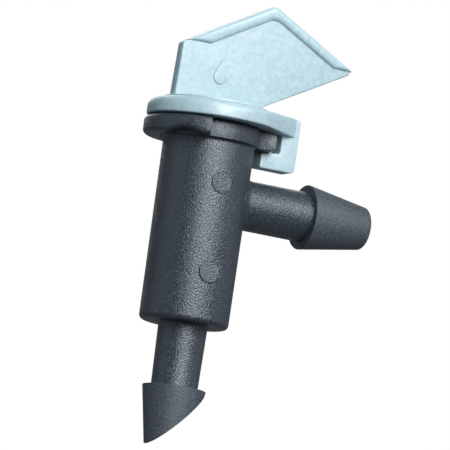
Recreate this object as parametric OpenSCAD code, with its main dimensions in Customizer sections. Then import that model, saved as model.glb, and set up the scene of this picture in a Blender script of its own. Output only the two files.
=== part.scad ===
// Take-apart drip emitter for quarter-inch micro-tube, in millimetres.
// The dark body has a self-piercing inlet barb below, a side outlet barb and a bayonet rim on top.
// The pale flag plug closes the barrel, carries the labyrinth and hooks under the rim's outlet-side lug.
// Origin: centre of the barrel's bottom shoulder. +Z runs up the barrel, +X runs along the outlet.

/* [Barrel] */
// Outside radius of the barrel at its mouth
barrel_r = 3.9; // [3.8:0.05:4]
// How much smaller the barrel's radius is at its foot
barrel_draft = 0.08; // [0:0.02:0.2]
// Height of the barrel from its shoulder to its mouth
barrel_h = 17.25; // [17:0.05:17.6]
// Radius of the chamber that the plug sits in
chamber_r = 2.7; // [2.6:0.05:2.9]
// Thickness of the chamber's floor
floor_t = 1.3; // [1:0.1:1.4]
// Rounding of the barrel's bottom edge
foot_round = 0.45; // [0.2:0.05:0.6]
// Radius of the two ejector pads on the barrel's side
pad_r = 1; // [0.7:0.05:1.2]
// Heights of the two ejector pads
pad_z = [4.4, 12.1]; // [2:0.1:14]

/* [Bayonet rim] */
// Height of the rim's underside
rim_z = 15.7; // [15.6:0.05:15.9]
// Outside radius of the rim in its recesses
rim_r = 4.35; // [4.2:0.05:4.5]
// Outside radius of the rear lobe and the outlet-side lug
lobe_r = 5.72; // [5.5:0.02:5.9]
// Angle from the outlet's direction to either end of the outlet-side lug
lug_half_angle = 24.8; // [20:0.2:30]
// Angle at which the rear lobe starts, counterclockwise from the outlet's direction
rear_start = 100; // [95:1:120]
// Angle at which the rear lobe ends
rear_end = 245.5; // [240:0.5:250]
// Angle at the middle of the detent scoop under the rear lobe
detent_angle = 222; // [215:1:225]
// Depth of the detent scoop
detent_depth = 0.4; // [0.2:0.05:0.4]
// Rounding of the rim's outer edges
rim_round = 0.45; // [0.42:0.01:0.5]

/* [Inlet] */
// Radius of the inlet stem under the barrel
inlet_stem_r = 2.1; // [1.9:0.05:2.15]
// Length of the inlet stem from the shoulder to the barb
inlet_stem_len = 5.45; // [5:0.01:6.5]
// Radius of the inlet barb's catching edge
inlet_barb_r = 2.72; // [2.5:0.02:2.9]
// Angle between the inlet barb's side and its axis
inlet_barb_angle = 9.3; // [7:0.1:11]
// Depth below the catching edge at which the piercing cut crosses the axis
pierce_depth = 3; // [2.9:0.05:3.3]
// Steepness of the piercing cut above the horizontal
pierce_angle = 47.5; // [44:0.5:48]

/* [Outlet] */
// Height of the outlet's axis above the shoulder
outlet_z = 11; // [10.8:0.02:11.2]
// Radius of the outlet stem
outlet_stem_r = 2.14; // [1.9:0.02:2.16]
// Distance from the barrel's axis to the outlet barb's catching edge
outlet_barb_x = 9.64; // [9:0.02:10.5]
// Radius of the outlet barb's catching edge
outlet_barb_r = 2.82; // [2.5:0.02:2.9]
// Radius of the outlet barb's end
outlet_end_r = 1.8; // [1.6:0.02:1.9]
// Length of the outlet barb
outlet_barb_len = 5.8; // [5:0.01:6]
// Radius of the water passages in both stems
passage_r = 1; // [0.7:0.05:1.2]

/* [Cap and latch] */
// Height of the cap's underside
cap_z = 17.4; // [17.35:0.01:17.7]
// Radius of the cap disc
cap_r = 5.62; // [5.5:0.02:5.8]
// Thickness of the cap disc
cap_t = 1.45; // [1.3:0.05:1.6]
// Rounding of the cap disc's top edge
cap_round = 0.75; // [0.3:0.05:0.8]
// Radius of the low boss that carries the flag
boss_r = 4.45; // [4.4:0.01:4.6]
// Height of the boss above the disc
boss_rise = 0.25; // [0.2:0.05:0.4]
// Thickness of the tab where it leaves the disc
tab_t = 1.35; // [1.2:0.05:1.4]
// How far the tab's top rises towards the latch arm
tab_rise = 0.25; // [0:0.05:0.3]
// Half the width of the latch
latch_half_w = 0.94; // [0.7:0.02:1]
// Distance from the axis to the latch arm's inner face
arm_in = 6.3; // [6.2:0.05:6.5]
// Distance from the axis to the latch arm's outer face
arm_out = 7.88; // [7.7:0.02:8]
// Distance from the axis at which the tab has narrowed to the latch's width
tab_end = 7.46; // [7.2:0.02:7.6]
// Height of the latch's underside
latch_z = 14.35; // [14.2:0.05:14.5]
// Height of the lip's upper face at the arm
lip_top = 15.8; // [15.7:0.02:15.82]
// How far the lip's upper face falls towards its inner end
lip_fall = 0.2; // [0.2:0.02:0.4]
// Radius of the lip's inner end
lip_r = 4.68; // [4.6:0.02:4.9]

/* [Flag] */
// Thickness of the flag plate
flag_t = 1.1; // [0.9:0.05:1.4]
// Thickness of the bead along the flag's two upper edges
bead_t = 1.7; // [1.5:0.05:2]
// Width of the bead along the short upper edge
bead_w_short = 1; // [0.7:0.05:1.2]
// Width of the bead along the long upper edge
bead_w_long = 0.85; // [0.6:0.05:1]
// Distance from the axis back to the foot of the flag's upright edge
flag_foot_x = 4.06; // [4:0.01:4.2]
// Top of the flag's upright edge, as X and Z
flag_shoulder = [-3.9, 23.7]; // [-4.2:0.05:24]
// Highest point of the flag, as X and Z
flag_peak = [4.15, 28.2]; // [4:0.05:28.6]
// Free tip of the flag over the outlet, as X and Z
flag_tip = [12.3, 23.87]; // [12:0.05:23.9]
// Where the flag's overhanging edge meets its root, as X and Z
flag_heel = [4.3, 19.5]; // [4:0.05:20]
// Height of the bead's level ends
bead_z = 23.97; // [23.9:0.01:24.1]
// Middle of the water-drop mark, as X and Z
drop_at = [-0.1, 21.3]; // [-1:0.1:22]
// Radius of the water-drop mark
drop_r = 0.62; // [0.4:0.02:0.9]
// How far the water-drop mark stands out
drop_rise = 0.12; // [0.05:0.01:0.2]

/* [Plug] */
// Running clearance between the plug and the chamber
plug_gap = 0.04; // [0.02:0.01:0.08]
// Radius of the plug's core through the labyrinth
core_r = 1.75; // [1.5:0.05:1.9]
// Radius of the plug's upper body
upper_r = 2.3; // [2.1:0.05:2.4]
// Height of the plug's lower end
nose_z = 1.7; // [1.5:0.05:1.8]
// Number of baffle rings in the labyrinth
baffles = 8; // [5:1:8]
// Height from one baffle ring to the next
baffle_pitch = 0.8; // [0.7:0.02:0.82]
// Thickness of a baffle ring
baffle_t = 0.4; // [0.3:0.05:0.5]
// Width of the notch in each baffle ring
notch_w = 1; // [0.7:0.05:1.2]
// Number of seal ribs above the outlet
seals = 3; // [2:1:3]

/* [Hidden] */

$fn = 96;
far = 40;                              // reach of the cutting blocks
foot_r = barrel_r - barrel_draft;
spigot_r = inlet_stem_r + 0.35;        // foot of the inlet stem in the floor
stem_draft = 0.1;                      // the inlet stem narrows by this towards the barb
pad_rise = 0.05;                       // ejector pad above the barrel's front line
mouth_flare = 0.2;                     // lead-in at the chamber's mouth
detent_half_w = 1.65;                  // half the width of the detent scoop
detent_r = (detent_half_w ^ 2 + detent_depth ^ 2) / (2 * detent_depth);
end_round = 0.35;                      // rounding of the outlet's end
latch_round = 0.35;                    // rounding of the latch's outer corners
inlet_stem_bottom = inlet_stem_r - stem_draft;
inlet_barb_len = 6;                    // uncut length of the inlet barb's cone
cap_top = cap_z + cap_t;
boss_top = cap_top + boss_rise;
boss_round = 0.12;                     // rounding at the boss's foot and rim
flag_foot = [-flag_foot_x, boss_top];
arm_top = cap_z + tab_t + tab_rise;
tab_touch = atan2(latch_half_w, tab_end) + acos(cap_r / norm([tab_end, latch_half_w]));
tab_start = cap_r * [cos(tab_touch), sin(tab_touch)];  // where the tab's side leaves the disc
core_z = nose_z + 0.9;                 // where the nose meets the core
first_baffle_z = core_z + 0.4;
core_top = 12.4;                       // top of the outlet chamber round the core
seal_t = 0.6;
seal_z = core_top + 0.5;
seal_pitch = 1.3;
land_r = chamber_r - plug_gap;         // outside radius of the baffles and seals

function tab_top(x) = cap_z + tab_t + tab_rise * (x - tab_start.x) / (tab_end - tab_start.x);
function lip_top_at(x) = lip_top - lip_fall * (arm_in - x) / (arm_in - lip_r);
function unit(v) = v / norm(v);
function turn_right(v) = [v.y, -v.x];

// Where the line through p along u crosses the line through q along v.
function crossing(p, u, q, v) =
    p + u * ((q - p).x * v.y - (q - p).y * v.x) / (u.x * v.y - u.y * v.x);

// The arc that replaces corner b of the path a, b, c.
function corner_arc(a, b, c, r, steps = 6) =
    let (u = unit(a - b), w = unit(c - b),
         half = acos(u * w) / 2,
         centre = b + unit(u + w) * r / sin(half),
         from = b + u * r / tan(half) - centre,
         to = b + w * r / tan(half) - centre,
         start = atan2(from.y, from.x),
         sweep = (atan2(to.y, to.x) - start + 540) % 360 - 180)
    [for (i = [0:steps]) centre + r * [cos(start + sweep * i / steps), sin(start + sweep * i / steps)]];

// A closed outline from [point, corner radius] pairs.
function rounded(corners) =
    let (n = len(corners))
    [for (i = [0:n - 1])
        each corners[i][1] > 0
            ? corner_arc(corners[(i + n - 1) % n][0], corners[i][0], corners[(i + 1) % n][0], corners[i][1])
            : [corners[i][0]]];

// A ring or disc about Z with rounded outer edges.
module lathed(inner, outer, z0, z1, round_bottom = 0, round_top = 0) {
    rotate_extrude()
        polygon(rounded([[[inner, z0], 0], [[outer, z0], round_bottom],
                         [[outer, z1], round_top], [[inner, z1], 0]]));
}

// A plate in the XZ plane, centred on y = 0.
module upright(outline, thickness) {
    translate([0, thickness / 2, 0])
        rotate([90, 0, 0])
            linear_extrude(thickness)
                polygon(outline);
}

// A round bar along +X from x0 to x1, at height z.
module bar_x(x0, x1, r0, r1, z) {
    translate([x0, 0, z])
        rotate([0, 90, 0])
            cylinder(h = x1 - x0, r1 = r0, r2 = r1);
}

// ---------------------------------------------------------------- dark body

module body_colour() {
    color([0.17, 0.2, 0.22]) children();
}

module barrel_outside() {
    rotate_extrude()
        polygon(rounded([[[0, 0], 0], [[foot_r, 0], foot_round],
                         [[barrel_r, rim_z], 0], [[barrel_r, barrel_h], 0], [[0, barrel_h], 0]]));
}

module barrel() {
    body_colour() difference() {
        barrel_outside();
        translate([0, 0, floor_t]) cylinder(h = far, r = chamber_r);
        translate([0, 0, barrel_h - mouth_flare])
            cylinder(h = 2 * mouth_flare, r1 = chamber_r, r2 = chamber_r + 2 * mouth_flare);
        translate([0, 0, -1]) cylinder(h = floor_t + 2, r = spigot_r);
        bar_x(0, far, passage_r, passage_r, outlet_z);
    }
}

module bayonet_rim() {
    body_colour() lathed(barrel_r, rim_r, rim_z, barrel_h, 0, 0.2);
}

module lobe_ring() {
    lathed(rim_r, lobe_r, rim_z, barrel_h, rim_round, rim_round);
}

// The wedge of space between two angles about Z.
module sector(from, to) {
    steps = 4;
    linear_extrude(far)
        polygon([[0, 0], for (i = [0:steps])
                 let (a = from + (to - from) * i / steps) far * [cos(a), sin(a)]]);
}

module rear_lobe() {
    body_colour() difference() {
        intersection() {
            lobe_ring();
            sector(rear_start, rear_end);
        }
        rotate([0, 0, detent_angle]) bar_x(0, far, detent_r, detent_r, rim_z + detent_depth - detent_r);
    }
}

module outlet_side_lug() {
    body_colour() intersection() {
        lobe_ring();
        sector(-lug_half_angle, lug_half_angle);
    }
}

module ejector_pads() {
    body_colour() for (z = pad_z)
        difference() {
            translate([0, 0, z]) rotate([90, 0, 0]) cylinder(h = barrel_r + pad_rise, r = pad_r);
            barrel_outside();
        }
}

module inlet_stem() {
    body_colour() difference() {
        union() {
            cylinder(h = floor_t, r = spigot_r);
            translate([0, 0, -inlet_stem_len])
                cylinder(h = inlet_stem_len, r1 = inlet_stem_bottom, r2 = inlet_stem_r);
        }
        translate([0, 0, -far / 2]) cylinder(h = far, r = passage_r);
    }
}

module inlet_barb() {
    tip_r = inlet_barb_r - inlet_barb_len * tan(inlet_barb_angle);
    body_colour() translate([0, 0, -inlet_stem_len]) difference() {
        translate([0, 0, -inlet_barb_len]) cylinder(h = inlet_barb_len, r1 = tip_r, r2 = inlet_barb_r);
        translate([0, 0, -far / 2]) cylinder(h = far, r = passage_r);
        translate([0, 0, -pierce_depth]) rotate([0, -pierce_angle, 0])
            translate([-far / 2, -far / 2, -far]) cube(far);
    }
}

module outlet_stem() {
    body_colour() difference() {
        bar_x(0, outlet_barb_x, outlet_stem_r, outlet_stem_r, outlet_z);
        barrel_outside();
        bar_x(0, far, passage_r, passage_r, outlet_z);
    }
}

module outlet_barb() {
    body_colour() difference() {
        translate([outlet_barb_x, 0, outlet_z]) rotate([0, 90, 0]) rotate_extrude()
            polygon(rounded([[[0, 0], 0], [[outlet_barb_r, 0], 0.08],
                             [[outlet_end_r, outlet_barb_len], end_round],
                             [[0, outlet_barb_len], 0]]));
        bar_x(0, far, passage_r, passage_r, outlet_z);
    }
}

// ---------------------------------------------------------------- pale flag plug

module flag_colour() {
    color([0.69, 0.86, 0.91]) children();
}

module cap_solid() {
    rotate_extrude()
        polygon(rounded([[[0, cap_z], 0], [[cap_r, cap_z], 0.2], [[cap_r, cap_top], cap_round],
                         [[boss_r, cap_top], boss_round], [[boss_r, boss_top], boss_round],
                         [[0, boss_top], 0]]));
}

module cap_disc() {
    flag_colour() cap_solid();
}

// The tab's sides leave the disc along its tangents and close in on the latch, and its top slopes up.
module latch_tab() {
    flag_colour() difference() {
        intersection() {
            translate([0, 0, cap_z]) linear_extrude(2 * tab_t)
                polygon([[tab_start.x, -tab_start.y], [tab_end, -latch_half_w],
                         [arm_in, -latch_half_w], [arm_in, latch_half_w],
                         [tab_end, latch_half_w], tab_start, [0, 0]]);
            upright([[0, cap_z], [tab_end, cap_z], [tab_end, arm_top],
                     [tab_start.x, cap_z + tab_t], [0, cap_z + tab_t]], far);
        }
        cap_solid();
    }
}

module latch_block(outline) {
    upright(outline, 2 * latch_half_w);
}

module latch_arm() {
    flag_colour() latch_block(rounded([
        [[arm_in, latch_z], 0], [[arm_out, latch_z], latch_round],
        [[arm_out, arm_top], latch_round / 2], [[tab_end, arm_top], 0], [[arm_in, tab_top(arm_in)], 0]]));
}

module latch_lip() {
    flag_colour() difference() {
        latch_block([[lip_r - 1, latch_z], [arm_in, latch_z],
                     [arm_in, lip_top], [lip_r - 1, lip_top_at(lip_r - 1)]]);
        translate([0, 0, latch_z - 1]) cylinder(h = far, r = lip_r);
    }
}

// Inner edges of the bead: the upper edges moved in by the bead's width.
short_edge = unit(flag_peak - flag_shoulder);
long_edge = unit(flag_tip - flag_peak);
short_line = flag_peak + turn_right(short_edge) * bead_w_short;
long_line = flag_peak + turn_right(long_edge) * bead_w_long;
bead_peak = crossing(short_line, short_edge, long_line, long_edge);
bead_left = crossing(short_line, short_edge, [0, bead_z], [1, 0]);
bead_right = crossing(long_line, long_edge, [0, bead_z], [1, 0]);
short_at_bead = crossing(flag_peak, short_edge, [0, bead_z], [1, 0]);
long_at_bead = crossing(flag_peak, long_edge, [0, bead_z], [1, 0]);

module flag_plate() {
    flag_colour() upright(rounded([
        [flag_foot, 0], [flag_shoulder, 0.2], [short_at_bead, 0], [bead_left, 0], [bead_peak, 1.2],
        [bead_right, 0], [long_at_bead, 0], [flag_tip, 0], [flag_heel, 0],
        [[flag_heel.x, boss_top], 0]]), flag_t);
}

module flag_bead() {
    flag_colour() upright(rounded([
        [short_at_bead, 0], [flag_peak, 0.6], [long_at_bead, 0],
        [bead_right, 0], [bead_peak, 1.2], [bead_left, 0]]), bead_t);
}

// A water drop: a circle whose two tangents meet above it.
module drop_mark() {
    lean = 25;
    flag_colour() translate([drop_at.x, -flag_t / 2, drop_at.y]) rotate([90, 0, 0])
        linear_extrude(drop_rise)
            polygon([[0, drop_r / sin(lean)],
                     for (a = [lean:-10:lean - 230]) drop_r * [-cos(a), sin(a)]]);
}

module plug_core() {
    flag_colour() {
        translate([0, 0, core_z]) cylinder(h = core_top - core_z, r = core_r);
        translate([0, 0, core_top]) cylinder(h = cap_z - core_top, r = upper_r);
    }
}

module plug_nose() {
    flag_colour() translate([0, 0, nose_z]) cylinder(h = core_z - nose_z, r1 = core_r - 0.6, r2 = core_r);
}

// Each ring's notch is on the other side from the last one's, so the water winds round the core.
module labyrinth_baffles() {
    flag_colour() for (i = [0:baffles - 1])
        translate([0, 0, first_baffle_z + i * baffle_pitch]) rotate([0, 0, 90 + 180 * i])
            difference() {
                cylinder(h = baffle_t, r = land_r);
                translate([0, 0, -1]) cylinder(h = baffle_t + 2, r = core_r);
                translate([0, -notch_w / 2, -1]) cube([far, notch_w, baffle_t + 2]);
            }
}

module seal_ribs() {
    flag_colour() for (i = [0:seals - 1])
        translate([0, 0, seal_z + i * seal_pitch])
            difference() {
                cylinder(h = seal_t, r = land_r);
                translate([0, 0, -1]) cylinder(h = seal_t + 2, r = upper_r);
            }
}

barrel();
bayonet_rim();
rear_lobe();
outlet_side_lug();
ejector_pads();
inlet_stem();
inlet_barb();
outlet_stem();
outlet_barb();
cap_disc();
latch_tab();
latch_arm();
latch_lip();
flag_plate();
flag_bead();
drop_mark();
plug_core();
plug_nose();
labyrinth_baffles();
seal_ribs();
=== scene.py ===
"""Looks of the take-apart drip emitter: every visible node is remade with real fillets and grain."""

import math

import bmesh
import bpy
from mathutils import Matrix, Quaternion, Vector


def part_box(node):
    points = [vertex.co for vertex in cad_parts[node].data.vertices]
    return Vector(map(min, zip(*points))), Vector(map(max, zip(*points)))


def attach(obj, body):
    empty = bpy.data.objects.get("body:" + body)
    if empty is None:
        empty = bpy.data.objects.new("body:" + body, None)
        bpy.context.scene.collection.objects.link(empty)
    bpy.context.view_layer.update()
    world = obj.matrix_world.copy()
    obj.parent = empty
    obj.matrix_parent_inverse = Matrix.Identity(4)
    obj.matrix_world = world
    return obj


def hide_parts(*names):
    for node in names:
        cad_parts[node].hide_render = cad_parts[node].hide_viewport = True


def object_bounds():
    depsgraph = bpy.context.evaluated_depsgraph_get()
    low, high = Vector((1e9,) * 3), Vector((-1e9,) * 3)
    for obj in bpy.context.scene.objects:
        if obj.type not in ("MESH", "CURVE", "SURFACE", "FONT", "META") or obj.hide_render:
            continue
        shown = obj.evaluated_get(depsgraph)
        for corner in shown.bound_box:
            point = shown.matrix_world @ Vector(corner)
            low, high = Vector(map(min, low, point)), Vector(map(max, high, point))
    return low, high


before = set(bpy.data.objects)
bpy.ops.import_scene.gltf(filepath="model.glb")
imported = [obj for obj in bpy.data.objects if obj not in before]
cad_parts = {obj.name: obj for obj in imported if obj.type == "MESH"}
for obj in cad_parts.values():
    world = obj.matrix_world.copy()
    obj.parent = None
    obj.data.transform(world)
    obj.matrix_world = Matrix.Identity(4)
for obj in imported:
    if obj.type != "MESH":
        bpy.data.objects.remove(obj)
cad_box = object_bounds()

MM = 0.001
BODY = "emitter_body"
PLUG = "flag_plug"
ROUND = 144                # segments round a lathed piece
FILLET = 8                 # steps along a fillet
FINE = 4                   # steps along a fillet too small to need more
EMBED = 0.00001            # how far a piece reaches into its neighbour, so no gap shows
SMOOTH_BELOW = math.radians(32)
SHARPEST_MITRE = 0.3       # keeps an inset point from running away at a sharp corner


# ------------------------------------------------------------------ shape helpers

def corner_arc(before, at, after, radius, steps=FILLET):
    """The arc that rounds the corner at of the path before, at, after."""
    before, at, after = Vector(before), Vector(at), Vector(after)
    u, w = (before - at).normalized(), (after - at).normalized()
    half = u.angle(w) / 2
    centre = at + (u + w).normalized() * radius / math.sin(half)
    first = at + u * radius / math.tan(half) - centre
    last = at + w * radius / math.tan(half) - centre
    start = math.atan2(first.y, first.x)
    sweep = (math.atan2(last.y, last.x) - start + 3 * math.pi) % (2 * math.pi) - math.pi
    angles = [start + sweep * i / steps for i in range(steps + 1)]
    return [centre + radius * Vector((math.cos(a), math.sin(a))) for a in angles]


def rounded(corners):
    """A closed 2-D outline from (x, y, corner radius) triples."""
    points = []
    for i, (x, y, radius) in enumerate(corners):
        if radius:
            before, after = corners[i - 1][:2], corners[(i + 1) % len(corners)][:2]
            points += corner_arc(before, (x, y), after, radius)
        else:
            points.append(Vector((x, y)))
    return points


def skin(loops, ring=False):
    """A mesh through equally long closed loops.

    A ring joins the last loop to the first; otherwise both ends are capped.
    """
    bm = bmesh.new()
    rows = [[bm.verts.new(p) for p in loop] for loop in loops]
    pairs = list(zip(rows, rows[1:])) + ([(rows[-1], rows[0])] if ring else [])
    for low, high in pairs:
        for i in range(len(low)):
            j = (i + 1) % len(low)
            bm.faces.new((low[i], low[j], high[j], high[i]))
    if not ring:
        bm.faces.new(rows[0])
        bm.faces.new(rows[-1])
    bmesh.ops.recalc_face_normals(bm, faces=bm.faces)
    return bm


def lathe(profile, place=Matrix.Identity(4), ring=True):
    """Turns a closed (radius, height) profile about Z, then moves it with place."""
    turn = [2 * math.pi * i / ROUND for i in range(ROUND)]
    return skin([[place @ Vector((radius * math.cos(a), radius * math.sin(a), height)) for a in turn]
                 for radius, height in profile], ring)


def slab(layers, upright=False):
    """A solid through (outline, level) layers: flat in XY at heights z, or upright in XZ at depths y."""
    if upright:
        return skin([[(p.x, level, p.y) for p in outline] for outline, level in layers])
    return skin([[(p.x, p.y, level) for p in outline] for outline, level in layers])


def quarter_turn(steps):
    return [math.pi / 2 * i / steps for i in range(steps + 1)]


def inset(outline, depth):
    """A closed 2-D outline moved inwards, each point along the mitre of its two sides."""
    count = len(outline)
    area = sum(outline[i - 1].cross(outline[i]) for i in range(count))
    side = math.copysign(depth, area)
    moved = []
    for i, point in enumerate(outline):
        u = (point - outline[i - 1]).normalized()
        w = (outline[(i + 1) % count] - point).normalized()
        mitre = Vector((-(u + w).y, (u + w).x)).normalized()
        moved.append(point + mitre * side / max(SHARPEST_MITRE, mitre.dot(Vector((-w.y, w.x)))))
    return moved


def soft_slab(outline, low, high, low_rim, high_rim, upright=False, spread=1, steps=5):
    """A slab whose two rims are rounded; spread stretches the rounding across the slab's faces."""
    low_in, high_in = low_rim * spread, high_rim * spread
    bottom, top = [], []
    for t in quarter_turn(steps):
        near, far = 1 - math.sin(t), 1 - math.cos(t)
        bottom.append((inset(outline, low_in * near), low + low_rim * far))
        top.append((inset(outline, high_in * far), high - high_rim * near))
    return slab(bottom + top, upright)


def evaluated(obj):
    """Puts the result of an object's modifiers into its mesh."""
    dg = bpy.context.evaluated_depsgraph_get()
    mesh = bpy.data.meshes.new_from_object(obj.evaluated_get(dg))
    old = obj.data
    obj.modifiers.clear()
    obj.data = mesh
    bpy.data.meshes.remove(old)


def object_of(name, bm):
    mesh = bpy.data.meshes.new(name)
    bm.to_mesh(mesh)
    bm.free()
    obj = bpy.data.objects.new(name, mesh)
    bpy.context.scene.collection.objects.link(obj)
    return obj


def carve(obj, cutter):
    """Cuts one mesh out of another."""
    cut = obj.modifiers.new("carve", "BOOLEAN")
    cut.operation, cut.solver, cut.object = "DIFFERENCE", "EXACT", cutter
    evaluated(obj)
    mesh = cutter.data
    bpy.data.objects.remove(cutter)
    bpy.data.meshes.remove(mesh)


def finish_piece(obj, nodes, body, material):
    mesh = obj.data
    mesh.polygons.foreach_set("use_smooth", [True] * len(mesh.polygons))
    mesh.set_sharp_from_angle(angle=SMOOTH_BELOW)
    mesh.materials.clear()
    mesh.materials.append(material)
    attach(obj, body)
    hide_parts(*nodes)
    return obj


# ------------------------------------------------------------------ materials

NOISE_LOW, NOISE_HIGH = 0.3, 0.7
PLASTIC_IOR = 1.5


def shader_of(name):
    material = bpy.data.materials.new(name)
    material.use_nodes = True
    nodes, links = material.node_tree.nodes, material.node_tree.links
    return material, nodes, links, nodes["Principled BSDF"]


def noise_node(nodes, links, where, scale, detail, roughness=0.5):
    node = nodes.new("ShaderNodeTexNoise")
    node.inputs["Scale"].default_value = scale
    node.inputs["Detail"].default_value = detail
    node.inputs["Roughness"].default_value = roughness
    links.new(where, node.inputs["Vector"])
    return node.outputs["Fac"]


def ramp_node(nodes, links, value, stops):
    node = nodes.new("ShaderNodeValToRGB")
    ramp = node.color_ramp
    ramp.elements[0].position, ramp.elements[1].position = stops[0][0], stops[-1][0]
    ramp.elements[0].color, ramp.elements[1].color = (*stops[0][1], 1), (*stops[-1][1], 1)
    for position, colour in stops[1:-1]:
        ramp.elements.new(position).color = (*colour, 1)
    links.new(value, node.inputs["Fac"])
    return node.outputs["Color"]


def bump_node(nodes, links, height, distance, strength, under=None):
    node = nodes.new("ShaderNodeBump")
    node.inputs["Distance"].default_value = distance
    node.inputs["Strength"].default_value = strength
    links.new(height, node.inputs["Height"])
    if under:
        links.new(under, node.inputs["Normal"])
    return node.outputs["Normal"]


def map_range(nodes, links, value, low, high):
    """Spreads the part of a noise's range that it mostly fills over low to high."""
    node = nodes.new("ShaderNodeMapRange")
    node.inputs["From Min"].default_value = NOISE_LOW
    node.inputs["From Max"].default_value = NOISE_HIGH
    node.inputs["To Min"].default_value = low
    node.inputs["To Max"].default_value = high
    links.new(value, node.inputs["Value"])
    return node.outputs["Result"]


def body_plastic(name, smooth, rough, dark, light, fleck):
    """Dark polyethylene with a fine matt grain over a slight waviness."""
    material, nodes, links, shader = shader_of(name)
    grain_scale, flow_scale = 7500, 260
    grain_height, flow_height = 0.07 * MM, 0.12 * MM
    where = nodes.new("ShaderNodeTexCoord").outputs["Object"]
    grain = noise_node(nodes, links, where, grain_scale, 2, 0.6)
    flow = noise_node(nodes, links, where, flow_scale, 2)
    colour = ramp_node(nodes, links, grain, [(0.4, dark), (0.58, light), (0.7, fleck)])
    links.new(colour, shader.inputs["Base Color"])
    links.new(map_range(nodes, links, grain, smooth, rough), shader.inputs["Roughness"])
    wave = bump_node(nodes, links, flow, flow_height, 0.25)
    links.new(bump_node(nodes, links, grain, grain_height, 0.8, wave), shader.inputs["Normal"])
    shader.inputs["Specular IOR Level"].default_value = 1
    shader.inputs["Specular Tint"].default_value = (0.86, 0.94, 1, 1)
    shader.inputs["IOR"].default_value = PLASTIC_IOR
    return material


def flag_plastic():
    """Pale blue polyethylene: satin, faintly mottled and a little translucent."""
    material, nodes, links, shader = shader_of("flag_plastic")
    where = nodes.new("ShaderNodeTexCoord").outputs["Object"]
    mottle_scale, cloud_scale, grain_scale = 2200, 180, 4200
    grain_height, cloud_height = 0.04 * MM, 0.15 * MM
    scatter_depth = 1.2 * MM
    shade, tint = (0.30, 0.435, 0.49), (0.385, 0.51, 0.55)
    mottle = noise_node(nodes, links, where, mottle_scale, 3, 0.6)
    cloud = noise_node(nodes, links, where, cloud_scale, 2)
    grain = noise_node(nodes, links, where, grain_scale, 2)
    colour = ramp_node(nodes, links, mottle, [(0.32, shade), (0.68, tint)])
    links.new(colour, shader.inputs["Base Color"])
    links.new(map_range(nodes, links, mottle, 0.36, 0.48), shader.inputs["Roughness"])
    wave = bump_node(nodes, links, cloud, cloud_height, 0.2)
    links.new(bump_node(nodes, links, grain, grain_height, 0.5, wave), shader.inputs["Normal"])
    shader.inputs["Subsurface Weight"].default_value = 0.35
    shader.inputs["Subsurface Scale"].default_value = scatter_depth
    shader.inputs["Subsurface Radius"].default_value = (0.6, 0.9, 1.0)
    shader.inputs["Specular IOR Level"].default_value = 0.9
    shader.inputs["IOR"].default_value = PLASTIC_IOR
    return material


BODY_PLASTIC = body_plastic("body_plastic", smooth=0.28, rough=0.5, dark=(0.007, 0.011, 0.018),
                            light=(0.02, 0.027, 0.038), fleck=(0.05, 0.06, 0.075))
# The barbs' copy of the body plastic is rougher. Its base colour is also painted lighter than the body's,
# as painted light standing in for the brighter light on the barbs.
BARB_PLASTIC_PAINTED_LIGHTER = body_plastic("barb_plastic_painted_lighter", smooth=0.5, rough=0.68, dark=(0.018, 0.026, 0.036),
                            light=(0.038, 0.048, 0.061), fleck=(0.07, 0.082, 0.1))
FLAG_PLASTIC = flag_plastic()


def body_piece(obj, *nodes, material=BODY_PLASTIC):
    return finish_piece(obj, nodes, BODY, material)


def flag_piece(obj, *nodes):
    return finish_piece(obj, nodes, PLUG, FLAG_PLASTIC)


# ------------------------------------------------------------------ sizes
# Boxes come from the parts in model.glb. A size that no box shows is written here as part.scad has it.

_, barrel_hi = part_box("barrel")
rim_lo, rim_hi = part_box("bayonet_rim")
lobe_lo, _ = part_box("rear_lobe")
pads_lo, pads_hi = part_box("ejector_pads")
in_stem_lo, in_stem_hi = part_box("inlet_stem")
_, in_barb_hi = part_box("inlet_barb")
out_stem_lo, out_stem_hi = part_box("outlet_stem")
out_barb_lo, out_barb_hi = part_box("outlet_barb")
cap_lo, cap_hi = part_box("cap_disc")
_, tab_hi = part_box("latch_tab")
arm_lo, arm_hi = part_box("latch_arm")
lip_lo, lip_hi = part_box("latch_lip")
_, plate_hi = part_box("flag_plate")
bead_lo, bead_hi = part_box("flag_bead")
mark_lo, mark_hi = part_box("drop_mark")
_, seal_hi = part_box("seal_ribs")

barrel_draft = 0.08 * MM
rib_clearance = 0.04 * MM
barrel_r = barrel_hi.x
foot_r = barrel_r - barrel_draft
rim_r = rim_hi.x
rim_z = rim_lo.z
mouth_z = barrel_hi.z
lobe_r = -lobe_lo.x
chamber_r = seal_hi.x + rib_clearance
spigot_r = in_stem_hi.x
passage_r = 1.0 * MM
outlet_z = (out_stem_lo.z + out_stem_hi.z) / 2
outlet_r = (out_stem_hi.z - out_stem_lo.z) / 2
ALONG_X = Matrix.Translation((0, 0, outlet_z)) @ Matrix.Rotation(math.pi / 2, 4, "Y")


# ------------------------------------------------------------------ dark body

def make_barrel():
    floor_z = in_stem_hi.z
    foot_round, chamfer = 0.45 * MM, 0.2 * MM
    obj = object_of("barrel_shell", lathe(rounded([
        (spigot_r - EMBED, 0, 0), (foot_r, 0, foot_round), (barrel_r, rim_z, 0),
        (barrel_r, mouth_z, 0.05 * MM), (chamber_r + chamfer, mouth_z, 0),
        (chamber_r, mouth_z - chamfer, 0), (chamber_r, floor_z, 0.2 * MM),
        (spigot_r - EMBED, floor_z, 0)])))
    port = object_of("port", lathe([(passage_r, 0), (passage_r, 2 * barrel_r)], ALONG_X, ring=False))
    carve(obj, port)
    return body_piece(obj, "barrel")


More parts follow.
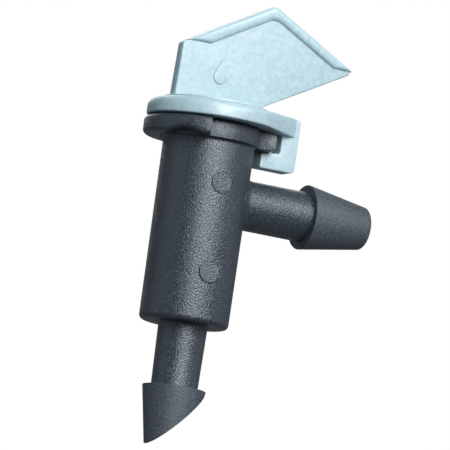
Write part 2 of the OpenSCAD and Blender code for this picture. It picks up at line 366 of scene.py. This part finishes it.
def make_rim():
    fillet = 0.18 * MM
    inner = barrel_r - EMBED
    swell = corner_arc((barrel_r, rim_z - fillet * 2), (barrel_r, rim_z), (rim_r, rim_z), fillet, FINE)
    top = corner_arc((rim_r, rim_z), (rim_r, mouth_z), (inner, mouth_z), 0.3 * MM)
    low = corner_arc((inner, rim_z), (rim_r, rim_z), (rim_r, mouth_z), 0.12 * MM, FINE)
    profile = [Vector((inner, rim_z - fillet * 1.02)), *swell, *low, *top, Vector((inner, mouth_z))]
    return body_piece(object_of("bayonet_ring", lathe(profile)), "bayonet_rim")


def lobe(name, start, end, low_of, top_round, low_round, end_round, steps):
    """A lobe swept about the axis between two angles; low_of(angle) is the height of its underside."""
    rooted = 0.25 * MM
    root_r = rim_r - rooted
    top = mouth_z - EMBED
    turns = quarter_turn(FINE)
    reach = end_round / lobe_r
    stations = [(start + reach * (1 - math.cos(t)), end_round * (1 - math.sin(t))) for t in turns]
    stations += [(start + reach + (end - start - 2 * reach) * i / steps, 0) for i in range(1, steps)]
    stations += [(end - reach * (1 - math.sin(t)), end_round * (1 - math.cos(t))) for t in turns]
    loops = []
    for angle, depth in stations:
        section = inset(rounded([
            (root_r, low_of(angle), 0), (lobe_r, low_of(angle), low_round), (lobe_r, top, top_round),
            (root_r, top, 0)]), depth)
        loops.append([(p.x * math.cos(angle), p.x * math.sin(angle), p.y) for p in section])
    return object_of(name, skin(loops))


def make_rear_lobe():
    """Its underside has a shallow scoop, the detent."""
    start, end = math.radians(100), math.radians(245.5)
    middle, half_width, depth = math.radians(222), 2.1 * MM, 0.4 * MM

    def low_of(angle):
        across = abs(angle - middle) * lobe_r / half_width
        return rim_z + (depth * (0.5 + 0.5 * math.cos(math.pi * across)) if across < 1 else 0)

    obj = lobe("rear_bayonet_lobe", start, end, low_of,
               top_round=0.4 * MM, low_round=0.4 * MM, end_round=0.12 * MM, steps=96)
    return body_piece(obj, "rear_lobe")


def make_outlet_lug():
    half_angle = math.radians(24.8)
    obj = lobe("outlet_side_bayonet_lug", -half_angle, half_angle, lambda angle: rim_z,
               top_round=0.55 * MM, low_round=0.42 * MM, end_round=0.12 * MM, steps=24)
    return body_piece(obj, "outlet_side_lug")


def make_ejector_pads():
    """Each pad is flat with a thin flash line round its edge."""
    radius, face = pads_hi.x, -pads_lo.y
    flash_w, flash_h, sunk = 0.1 * MM, 0.07 * MM, 0.8 * MM
    profile = [Vector((radius, face - sunk)),
               *corner_arc((radius, 0), (radius, face), (0, face), 0.03 * MM, 3),
               Vector((radius - flash_w, face)), Vector((radius - 1.5 * flash_w, face - flash_h))]
    bm = bmesh.new()
    for middle_z in (pads_lo.z + radius, pads_hi.z - radius):
        place = Matrix.Translation((0, 0, middle_z)) @ Matrix.Rotation(math.pi / 2, 4, "X")
        pad = lathe(profile, place, ring=False)
        mesh = bpy.data.meshes.new("pad")
        pad.to_mesh(mesh)
        pad.free()
        bm.from_mesh(mesh)
        bpy.data.meshes.remove(mesh)
    return body_piece(object_of("ejector_pad_marks", bm), "ejector_pads")


def make_inlet_stem():
    stem_r, barb_end_r = 2.1 * MM, 2.0 * MM
    low_z = in_stem_lo.z - EMBED
    profile = [Vector((passage_r, low_z)), Vector((barb_end_r, low_z)),
               *corner_arc((stem_r, low_z), (stem_r, 0), (spigot_r, 0), (spigot_r - stem_r) * 0.999),
               Vector((spigot_r, 0)), Vector((spigot_r, in_stem_hi.z)), Vector((passage_r, in_stem_hi.z))]
    return body_piece(object_of("inlet_stem_tube", lathe(profile)), "inlet_stem")


def make_inlet_barb():
    top_z = in_barb_hi.z
    radius = in_barb_hi.x
    length = 6 * MM            # longer than the barb, so that the piercing cut ends it
    slope = math.tan(math.radians(9.3))
    cut_depth, cut_angle = 3 * MM, math.radians(47.5)
    obj = object_of("inlet_piercing_barb", lathe(rounded([
        (passage_r, top_z - length, 0), (radius - length * slope, top_z - length, 0),
        (radius, top_z, 0.05 * MM), (passage_r, top_z, 0)])))
    tilt = Matrix.Translation((0, 0, top_z - cut_depth)) @ Matrix.Rotation(-cut_angle, 4, "Y")
    size = 10 * MM
    corners = ((-size, -size), (size, -size), (size, size), (-size, size))
    block = skin([[tilt @ Vector((x, y, height)) for x, y in corners] for height in (-2 * size, 0)])
    carve(obj, object_of("cutter", block))
    return body_piece(obj, "inlet_barb", material=BARB_PLASTIC_PAINTED_LIGHTER)


def make_outlet_stem():
    """Its foot spreads into the round barrel in a fillet that follows the saddle where they meet."""
    fillet = 0.4 * MM
    inner_sunk, outer_sunk = 0.6 * MM, 0.3 * MM
    end_x = out_stem_hi.x + EMBED

    def ring_at(radius, reach):
        points = []
        for i in range(ROUND):
            a = 2 * math.pi * i / ROUND
            y, z = radius * math.cos(a), radius * math.sin(a)
            points.append((reach(y), y, outlet_z + z))
        return points

    def saddle(y):
        return math.sqrt(barrel_r ** 2 - y ** 2)

    loops = [ring_at(passage_r, lambda y: end_x), ring_at(passage_r, lambda y: saddle(y) - inner_sunk)]
    loops.append(ring_at(outlet_r + fillet, lambda y: saddle(y) - outer_sunk))
    for turn in quarter_turn(FILLET):
        radius = outlet_r + fillet * (1 - math.sin(turn))
        out = fillet * (1 - math.cos(turn))
        loops.append(ring_at(radius, lambda y, out=out: saddle(y) - EMBED + out))
    loops.append(ring_at(outlet_r, lambda y: end_x))
    return body_piece(object_of("outlet_stem_tube", skin(loops, ring=True)), "outlet_stem")


def make_outlet_barb():
    start, end = out_barb_lo.x, out_barb_hi.x
    radius = out_barb_hi.y
    end_r = 1.8 * MM
    profile = rounded([(passage_r, start, 0), (radius, start, 0.1 * MM), (end_r, end, 0.35 * MM),
                       (passage_r, end, 0.1 * MM)])
    obj = object_of("outlet_hose_barb", lathe(profile, ALONG_X))
    return body_piece(obj, "outlet_barb", material=BARB_PLASTIC_PAINTED_LIGHTER)


# ------------------------------------------------------------------ pale flag plug

cap_t, tab_t, lip_fall = 1.45 * MM, 1.35 * MM, 0.2 * MM
cap_r = cap_hi.y
cap_top = cap_lo.z + cap_t
boss_r, boss_top = 4.45 * MM, cap_hi.z
arm_in, arm_out, arm_top = arm_lo.x, arm_hi.x, arm_hi.z
latch_w = arm_hi.y
tab_end = tab_hi.x
tab_low_top = cap_lo.z + tab_t
lip_end_z = lip_hi.z - lip_fall


def make_cap():
    profile = rounded([
        (cap_r, cap_lo.z, 0.15 * MM), (cap_r, cap_top, 0.75 * MM), (boss_r, cap_top, 0.12 * MM),
        (boss_r, boss_top, 0.12 * MM), (EMBED, boss_top, 0), (EMBED, cap_lo.z, 0)])
    return flag_piece(object_of("cap_cover", lathe(profile)), "cap_disc")


def make_tab():
    """The tab leaves the disc along its tangents and slopes up to the latch.

    Behind the tangents its outline follows the disc's rim and its top falls away, so no step shows.
    """
    reach = math.hypot(tab_end, latch_w)
    touch = math.atan2(latch_w, tab_end) + math.acos(cap_r / reach)
    start = Vector((math.cos(touch), math.sin(touch))) * cap_r
    run_out, fall, ease, steps = math.radians(35), 0.6 * MM, 1.5, 8
    angles = [touch + run_out * i / steps for i in range(steps + 1)]
    near = [(cap_r * math.cos(a), -cap_r * math.sin(a), 0) for a in reversed(angles)]
    far = [(cap_r * math.cos(a), cap_r * math.sin(a), 0) for a in angles]
    outline = rounded([*near, (tab_end, -latch_w, 0.15 * MM), (tab_end, latch_w, 0.15 * MM), *far])
    back = cap_r * math.cos(angles[-1])
    bm = soft_slab(outline, cap_lo.z + EMBED, tab_low_top, 0.1 * MM, 0.12 * MM)
    slope = (arm_top - tab_low_top) / (tab_end - start.x)
    for vertex in bm.verts:
        if vertex.co.z > (cap_lo.z + tab_low_top) / 2:
            vertex.co.z += slope * max(0, vertex.co.x - start.x)
            vertex.co.z -= fall * (max(0, start.x - vertex.co.x) / (start.x - back)) ** ease
    return flag_piece(object_of("latch_tab_web", bm), "latch_tab")


def make_hook():
    """Arm and lip are one C-shaped bracket; its top lies a hair under the tab's."""
    low, top = arm_lo.z, arm_top - 2 * EMBED
    outline = rounded([
        (lip_lo.x, low, 0.15 * MM), (arm_out, low, 0.4 * MM), (arm_out, top, 0.25 * MM),
        (arm_in, top - 0.1 * MM, 0), (arm_in, lip_hi.z, 0.25 * MM), (lip_lo.x, lip_end_z, 0.15 * MM)])
    obj = object_of("latch_hook", soft_slab(outline, -latch_w, latch_w, 0.1 * MM, 0.1 * MM, upright=True))
    return flag_piece(obj, "latch_arm", "latch_lip")


def crossing(p, u, q, v):
    """Where the line through p along u crosses the line through q along v."""
    return p + u * ((q - p).x * v.y - (q - p).y * v.x) / (u.x * v.y - u.y * v.x)


# the flag's corners in XZ, as part.scad has them
foot = Vector((-4.06 * MM, boss_top))
shoulder = Vector((-3.9, 23.7)) * MM
peak = Vector((4.15, 28.2)) * MM
tip = Vector((12.3, 23.87)) * MM
heel = Vector((4.3, 19.5)) * MM
short_edge, long_edge = (peak - shoulder).normalized(), (tip - peak).normalized()
level, across = Vector((0, bead_lo.z)), Vector((1, 0))
bead_w_short, bead_w_long = 1.0, 0.85        # mm
short_line = peak + Vector((short_edge.y, -short_edge.x)) * bead_w_short * MM
long_line = peak + Vector((long_edge.y, -long_edge.x)) * bead_w_long * MM
bead_peak = crossing(short_line, short_edge, long_line, long_edge)
bead_left = crossing(short_line, short_edge, level, across)
bead_right = crossing(long_line, long_edge, level, across)
short_at_bead = crossing(peak, short_edge, level, across)
long_at_bead = crossing(peak, long_edge, level, across)


def make_flag_plate():
    """Its upper edges stay a little inside the bead that covers them."""
    thick, soft = plate_hi.y, 0.15 * MM
    tuck = 0.06 * MM
    outline = rounded([
        (foot.x, foot.y - tuck, 0), (*shoulder, 0.3 * MM), (short_at_bead.x + tuck, level.y, 0),
        (peak.x, peak.y - 2 * tuck, 0.6 * MM), (long_at_bead.x - tuck, level.y, 0), (*tip, 0.25 * MM),
        (*heel, 0.2 * MM), (heel.x, foot.y - tuck, 0)])
    panel = soft_slab(outline, -thick, thick, soft, soft, upright=True)
    return flag_piece(object_of("flag_plate_panel", panel), "flag_plate")


def make_flag_bead():
    thick = bead_hi.y
    soft = 0.28 * MM
    outline = rounded([
        (*short_at_bead, 0), (*peak, 0.6 * MM), (*long_at_bead, 0),
        (*bead_right, 0.5 * MM), (*bead_peak, 1.2 * MM), (*bead_left, 0.5 * MM)])
    bead = soft_slab(outline, -thick, thick, soft, soft, upright=True, spread=1.5)
    return flag_piece(object_of("flag_edge_bead", bead), "flag_bead")


def make_drop_mark():
    """A generic water drop, sunk a little into the plate."""
    lean, sunk, soft = math.radians(25), 0.1 * MM, 0.08 * MM
    radius = mark_hi.x - (mark_lo.x + mark_hi.x) / 2
    middle = Vector(((mark_lo.x + mark_hi.x) / 2, mark_lo.z + radius))
    steps = 28
    angles = [math.pi - lean + (math.pi + 2 * lean) * i / steps for i in range(steps + 1)]
    outline = [middle + radius * Vector((math.cos(a), math.sin(a))) for a in angles]
    outline.append(middle + Vector((0, radius / math.sin(lean))))
    drop = soft_slab(outline, mark_lo.y, mark_hi.y + sunk, soft, 0, upright=True)
    return flag_piece(object_of("water_drop_mark", drop), "drop_mark")


make_barrel()
make_rim()
make_rear_lobe()
make_outlet_lug()
make_ejector_pads()
make_inlet_stem()
make_inlet_barb()
make_outlet_stem()
make_outlet_barb()
make_cap()
make_tab()
make_hook()
make_flag_plate()
make_flag_bead()
make_drop_mark()
for hidden in ("plug_core", "plug_nose", "labyrinth_baffles", "seal_ribs"):
    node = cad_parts[hidden]
    node.data.materials.clear()
    node.data.materials.append(FLAG_PLASTIC)


# ------------------------------------------------------------------ studio

LIGHT_DISTANCE = 0.6
WHITE = (1, 1, 1)


def direction(azimuth, elevation):
    """From the object towards something at these degrees; azimuth 0 is in front, on -Y."""
    a, e = math.radians(azimuth), math.radians(elevation)
    return Vector((math.sin(a) * math.cos(e), -math.cos(a) * math.cos(e), math.sin(e)))


def make_camera():
    back, roll = direction(-25, -6.8), math.radians(8.1)
    middle = (cad_box[0] + cad_box[1]) / 2
    look_at = middle + Vector((-2.45, -0.35, 0.2)) * MM
    data = bpy.data.cameras.new("camera")
    data.sensor_width = 36
    distance, frame_width = 1200 * MM, 38.15 * MM
    data.lens = data.sensor_width * distance / frame_width
    data.clip_start, data.clip_end = 0.01, 20
    camera = bpy.data.objects.new("camera", data)
    camera.location = look_at + back * distance
    camera.rotation_mode = "QUATERNION"
    camera.rotation_quaternion = (-back).to_track_quat("-Z", "Y") @ Quaternion((0, 0, 1), roll)
    bpy.context.scene.collection.objects.link(camera)
    bpy.context.scene.camera = camera
    return look_at


def area_light(target, name, azimuth, elevation, size, watts, colour=WHITE):
    back = direction(azimuth, elevation)
    data = bpy.data.lights.new(name, "AREA")
    data.shape = "RECTANGLE"
    data.size, data.size_y = size
    data.energy = watts
    data.color = colour
    light = bpy.data.objects.new(name, data)
    light.location = target + back * LIGHT_DISTANCE
    light.rotation_mode = "QUATERNION"
    light.rotation_quaternion = (-back).to_track_quat("-Z", "Y")
    light.visible_camera = False
    bpy.context.scene.collection.objects.link(light)


def plain_material(name, colour, glow):
    material, _, _, shader = shader_of(name)
    shader.inputs["Base Color"].default_value = (*colour, 1)
    shader.inputs["Roughness"].default_value = 0.9
    shader.inputs["Emission Color"].default_value = (*colour, 1)
    shader.inputs["Emission Strength"].default_value = glow
    return material


def make_sky():
    """Dim bluish light from all round, behind a plain white backdrop."""
    world = bpy.data.worlds.new("world")
    bpy.context.scene.world = world
    world.use_nodes = True
    nodes, links = world.node_tree.nodes, world.node_tree.links
    ambient = nodes["Background"]
    ambient.inputs["Color"].default_value = (0.85, 0.93, 1, 1)
    ambient.inputs["Strength"].default_value = 0.2
    backdrop = nodes.new("ShaderNodeBackground")
    backdrop.inputs["Color"].default_value = (1, 1, 1, 1)
    mix = nodes.new("ShaderNodeMixShader")
    links.new(nodes.new("ShaderNodeLightPath").outputs["Is Camera Ray"], mix.inputs["Fac"])
    links.new(ambient.outputs["Background"], mix.inputs[1])
    links.new(backdrop.outputs["Background"], mix.inputs[2])
    links.new(mix.outputs["Shader"], nodes["World Output"].inputs["Surface"])


def make_floor():
    """Far enough below the object that a camera looking up at it stays above the floor."""
    half, top, thick = 3.6, -1.6, 0.01
    corners = ((-half, -half), (half, -half), (half, half), (-half, half))
    block = skin([[Vector((x, y, z)) for x, y in corners] for z in (top - thick, top)])
    floor = object_of("floor", block)
    floor.data.materials.append(plain_material("pale_floor", (0.9, 0.9, 0.9), 0.7))
    floor.visible_diffuse = floor.visible_glossy = False


def make_studio(target):
    area_light(target, "key", -5, 21, (0.14, 0.4), 4.2)
    area_light(target, "high_right", 25, 30, (0.14, 0.14), 1.3)
    area_light(target, "fill_left", -100, 10, (0.3, 0.5), 0.35, (0.85, 0.95, 1))
    area_light(target, "fill_right", 75, 15, (0.3, 0.5), 0.3)
    area_light(target, "top", 0, 80, (0.4, 0.4), 0.45)
    area_light(target, "back", 170, 30, (0.4, 0.4), 1.2)
    make_sky()
    make_floor()
    bpy.context.scene.view_settings.view_transform = "Standard"


make_studio(make_camera())
